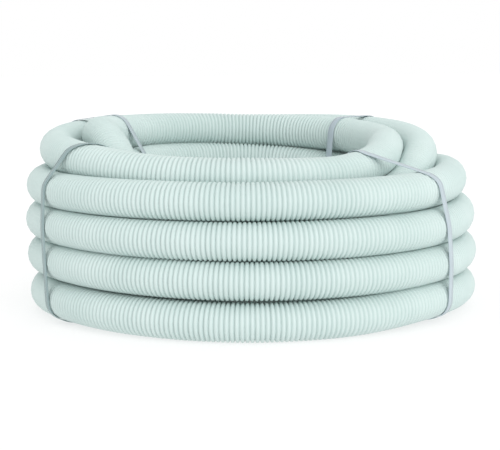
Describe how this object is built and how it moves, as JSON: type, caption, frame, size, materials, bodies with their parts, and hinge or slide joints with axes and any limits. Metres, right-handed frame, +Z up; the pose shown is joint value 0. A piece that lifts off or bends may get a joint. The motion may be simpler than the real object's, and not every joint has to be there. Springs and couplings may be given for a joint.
{
  "type": "corrugated waste-water hose coil",
  "caption": "Coiled corrugated waste-water hose for a caravan or motorhome, tied up with thin flat bands for sale or storage.",
  "frame": {"origin": "on the coil's axis, on the surface that the coil lies on", "axes": "+Z up along the coil's axis, -Y towards the viewer, +X to the viewer's right"},
  "size_m": [0.4198, 0.4198, 0.178],
  "materials": {
    "hose_plastic": "pale grey-white moulded polyethylene with a soft sheen, ribbed all along",
    "band_plastic": "thin translucent grey-white packing strap"
  },
  "bodies": {
    "root": {"hose_outer_turns": "hose_plastic", "hose_inner_turns": "hose_plastic", "hose_first_turn": "hose_plastic", "hose_top_turns": "hose_plastic", "band_front_left": "band_plastic", "band_front_right": "band_plastic", "band_rear_left": "band_plastic", "band_rear_right": "band_plastic"}
  },
  "joints": []
}
